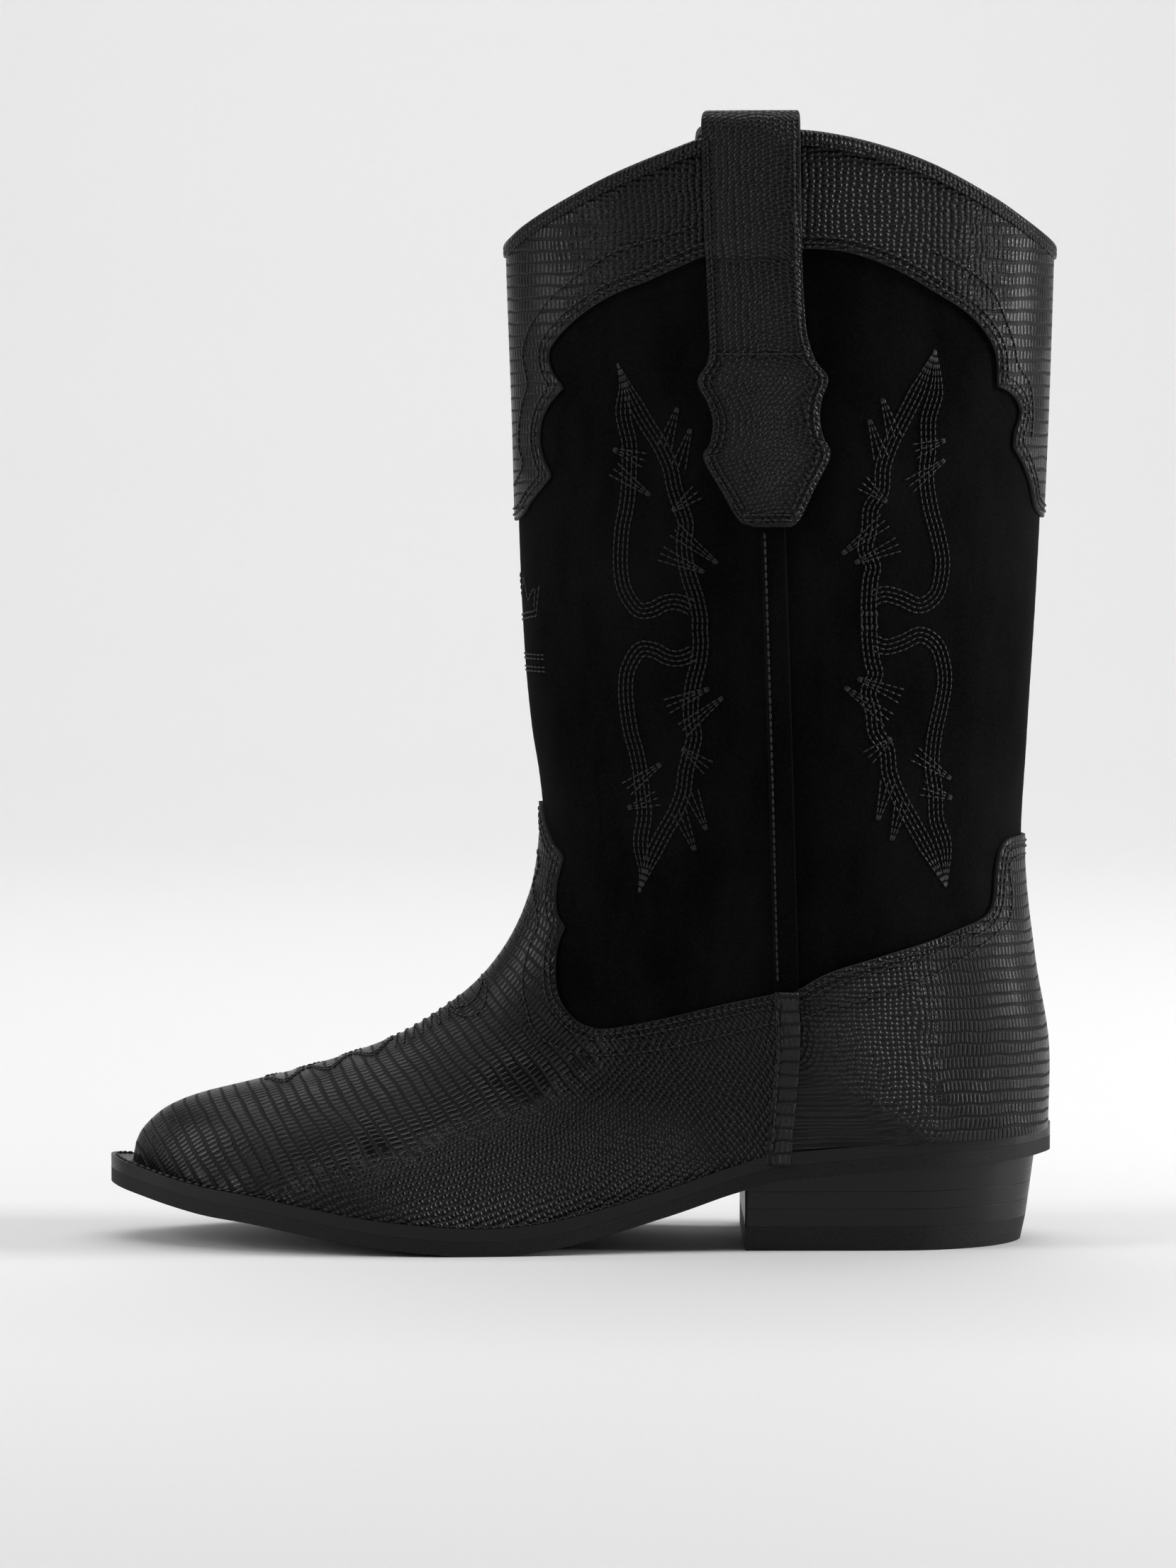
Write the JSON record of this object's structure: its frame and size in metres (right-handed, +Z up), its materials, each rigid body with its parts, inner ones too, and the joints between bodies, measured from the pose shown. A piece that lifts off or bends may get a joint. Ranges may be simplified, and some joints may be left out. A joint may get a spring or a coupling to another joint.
{
  "type": "western boot",
  "caption": "Black western ankle-to-calf boot: lizard-embossed vamp, counter and collar, suede shaft, side pull straps, stacked block heel and rubber sole.",
  "frame": {"origin": "centre of the boot's footprint box, on the floor", "axes": "+Z up along the leg, -X towards the toe, -Y towards the outer side of the left leg"},
  "size_m": [0.2756, 0.091, 0.3257],
  "materials": {
    "embossed_leather": "semi-gloss black lizard-embossed calf leather",
    "binding_leather": "semi-gloss black leather, rolled edge",
    "suede": "matte black suede, embroidered",
    "lining_leather": "matte black pigskin lining",
    "sock_leather": "matte black leather sock",
    "stiffener_board": "matte bonded leather board",
    "backing_cloth": "matte woven cotton backing",
    "insole_board": "matte cellulose insole board",
    "cork_filler": "matte granulated cork",
    "shank_steel": "tempered spring steel",
    "nail_steel": "bright steel wire",
    "welt_leather": "satin black dyed leather",
    "sole_rubber": "matte black speckled rubber",
    "stacked_heel": "satin black waxed stacked leather"
  },
  "bodies": {
    "root": {"vamp": "embossed_leather", "counter_cover": "embossed_leather", "collar_front": "embossed_leather", "collar_back": "embossed_leather", "pull_strap_outer": "embossed_leather", "pull_strap_inner": "embossed_leather", "topline_binding_front": "binding_leather", "topline_binding_back": "binding_leather", "shaft_front": "suede", "shaft_back": "suede", "shaft_lining_front": "lining_leather", "shaft_lining_back": "lining_leather", "vamp_lining": "lining_leather", "counter_lining": "lining_leather", "sock_liner": "sock_leather", "toe_puff": "stiffener_board", "heel_stiffener": "stiffener_board", "vamp_backing": "backing_cloth", "insole": "insole_board", "bottom_filler": "cork_filler", "shank": "shank_steel", "heel_nails": "nail_steel", "midsole": "welt_leather", "outsole": "sole_rubber", "top_lift": "sole_rubber", "heel_wedge": "stacked_heel", "heel_lift_upper": "stacked_heel", "heel_lift_lower": "stacked_heel"}
  },
  "joints": []
}
